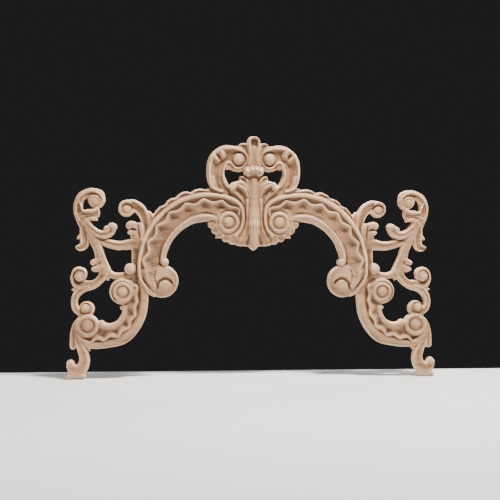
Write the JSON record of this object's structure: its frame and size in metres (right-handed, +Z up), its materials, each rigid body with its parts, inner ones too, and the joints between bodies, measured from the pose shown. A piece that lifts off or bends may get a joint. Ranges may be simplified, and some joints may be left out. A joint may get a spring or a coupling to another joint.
{
  "type": "carved wood crest moulding",
  "caption": "Pierced, symmetrical carved wood crest with C-scrolls, volutes, ruffles and leafy branches on a flat back.",
  "frame": {"origin": "on the flat back, on the centre line, behind the stem and level with the two centre volutes", "axes": "+X along the width, +Z up, +Y out of the flat back towards what it is fixed to; the carving faces -Y"},
  "size_m": [0.6, 0.0209, 0.3913],
  "materials": {
    "pale_hardwood": "bare, sanded, unfinished"
  },
  "bodies": {
    "root": {"carved_crest": "pale_hardwood"}
  },
  "joints": []
}
